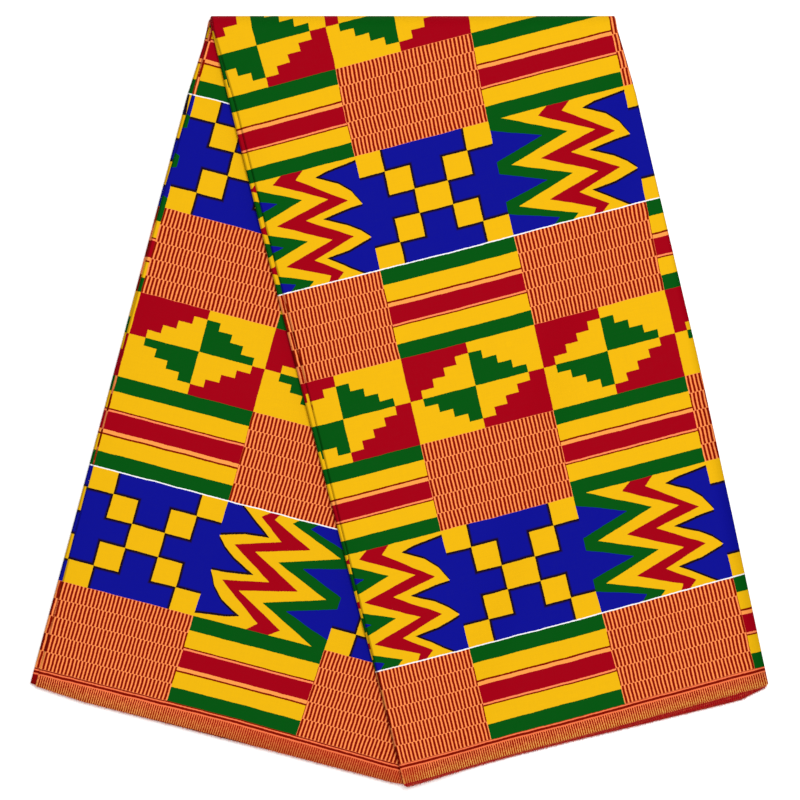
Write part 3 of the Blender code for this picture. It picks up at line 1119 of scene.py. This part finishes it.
def finish_piece(piece):
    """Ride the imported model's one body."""
    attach(piece, "root")


class LayCloth(bpy.types.Operator):
    """Lay the pleated and folded cloth"""

    bl_idname = "cotton.lay_cloth"
    bl_label = "Lay the cloth"

    def execute(self, context):
        scene = context.scene
        fold = Fold(scene.cotton_fold)
        mesh = cloth_mesh(fold)
        finish = cotton_finish(scene.cotton_print, scene.cotton_dyes, scene.cotton_border, fold)
        mesh.materials.append(finish)
        cloth = plain_object("folded_cotton", mesh)
        finish_piece(cloth)
        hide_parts("cloth")
        return {"FINISHED"}


class AddYarnEnds(bpy.types.Operator):
    """Stand short ends of yarn along both woven edges"""

    bl_idname = "cotton.add_yarn_ends"
    bl_label = "Add yarn ends"

    def execute(self, context):
        scene = context.scene
        fold = Fold(scene.cotton_fold)
        points = settle(fold, cloth_grid(fold))[..., :3]
        lines, outward, edges = [], [], []
        for row, inner in ((0, 1), (-1, -2)):
            start = len(lines)
            lines += points[row].tolist()
            away = points[row] - points[inner]
            outward += (away / np.linalg.norm(away, axis=-1, keepdims=True)).tolist()
            edges += [(start + step, start + step + 1) for step in range(points.shape[1] - 1)]
        mesh = bpy.data.meshes.new("woven_edges")
        mesh.from_pydata(lines, edges, [])
        heading = mesh.attributes.new("outward", "FLOAT_VECTOR", "POINT")
        heading.data.foreach_set("vector", np.array(outward).reshape(-1))
        guide = plain_object("woven_edges", mesh)
        sizes = scene.cotton_yarns
        tree, names = yarn_tree(yarn_finish(scene.cotton_border), sizes)
        yarns = guide.modifiers.new("Yarn ends", "NODES")
        yarns.node_group = tree
        for name, socket in names.items():
            yarns[socket] = getattr(sizes, name.lower())
        made = plain_mesh(guide, "yarn_ends")
        finish_piece(made)
        return {"FINISHED"}


def white_surface(floor):
    """The surface that the cloth lies on. It glows a little, so shadows on it are faint."""
    half = floor / 2
    corners = [(-half, -half, 0), (half, -half, 0), (half, half, 0), (-half, half, 0)]
    mesh = bpy.data.meshes.new("surface")
    mesh.from_pydata(corners, [], [(0, 1, 2, 3)])
    material, _, shader = new_finish("white_surface")
    shader.inputs["Base Color"].default_value = (0.92, 0.92, 0.92, 1.0)
    shader.inputs["Roughness"].default_value = 0.9
    shader.inputs["Specular IOR Level"].default_value = 0.1
    shader.inputs["Emission Color"].default_value = (1.0, 1.0, 1.0, 1.0)
    shader.inputs["Emission Strength"].default_value = 0.25
    mesh.materials.append(material)
    plain_object("surface", mesh)


def soft_light(scene, sizes):
    """Even light all round, and one large soft lamp nearly overhead."""
    world = bpy.data.worlds.new("even_light")
    world.use_nodes = True
    sky = world.node_tree.nodes["Background"]
    sky.inputs["Color"].default_value = (1.0, 1.0, 1.0, 1.0)
    sky.inputs["Strength"].default_value = sizes.sky
    scene.world = world
    lamp = bpy.data.lights.new("soft_key", "AREA")
    lamp.shape = "SQUARE"
    lamp.size = KEY_SIDE
    lamp.energy = sizes.key
    key = bpy.data.objects.new("soft_key", lamp)
    scene.collection.objects.link(key)
    key.location = KEY_PLACE
    key.rotation_euler = (-key.location).to_track_quat("-Z", "Y").to_euler()


def overhead_camera(scene, sizes):
    """The camera, straight above the cloth."""
    lens = bpy.data.cameras.new("camera")
    lens.lens = sizes.lens
    lens.sensor_width = SENSOR_WIDTH
    lens.clip_end = 50.0
    camera = bpy.data.objects.new("camera", lens)
    scene.collection.objects.link(camera)
    distance = sizes.view_width / lens.sensor_width * lens.lens
    camera.location = (*VIEW_MIDDLE, distance + CLOTH_HEIGHT)
    scene.camera = camera
    scene.view_settings.view_transform = "Standard"


class SetStage(bpy.types.Operator):
    """Set the surface, the light and the camera"""

    bl_idname = "cotton.set_stage"
    bl_label = "Set the stage"

    def execute(self, context):
        scene = context.scene
        sizes = scene.cotton_stage
        white_surface(sizes.floor)
        soft_light(scene, sizes)
        overhead_camera(scene, sizes)
        return {"FINISHED"}


class CottonPanel(bpy.types.Panel):
    """Buttons for each piece of the folded cotton"""

    bl_idname = "VIEW3D_PT_folded_cotton"
    bl_label = "Folded cotton"
    bl_space_type = "VIEW_3D"
    bl_region_type = "UI"
    bl_category = "Folded cotton"

    def draw(self, context):
        for operator in OPERATORS:
            self.layout.operator(operator.bl_idname)


OPERATORS = (SetStage, LayCloth, AddYarnEnds)
GROUPS = {
    "cotton_fold": FoldSizes,
    "cotton_print": PrintSizes,
    "cotton_dyes": PrintDyes,
    "cotton_border": BorderDyes,
    "cotton_yarns": YarnSizes,
    "cotton_stage": StageSizes,
}


def register():
    for name, group in GROUPS.items():
        bpy.utils.register_class(group)
        setattr(bpy.types.Scene, name, PointerProperty(type=group))
    for operator in (*OPERATORS, CottonPanel):
        bpy.utils.register_class(operator)


def unregister():
    for operator in (CottonPanel, *reversed(OPERATORS)):
        bpy.utils.unregister_class(operator)
    for name, group in reversed(GROUPS.items()):
        delattr(bpy.types.Scene, name)
        bpy.utils.unregister_class(group)


def main():
    """Make every piece."""
    register()
    bpy.ops.cotton.set_stage()
    bpy.ops.cotton.lay_cloth()
    bpy.ops.cotton.add_yarn_ends()


if __name__ == "__main__":
    main()
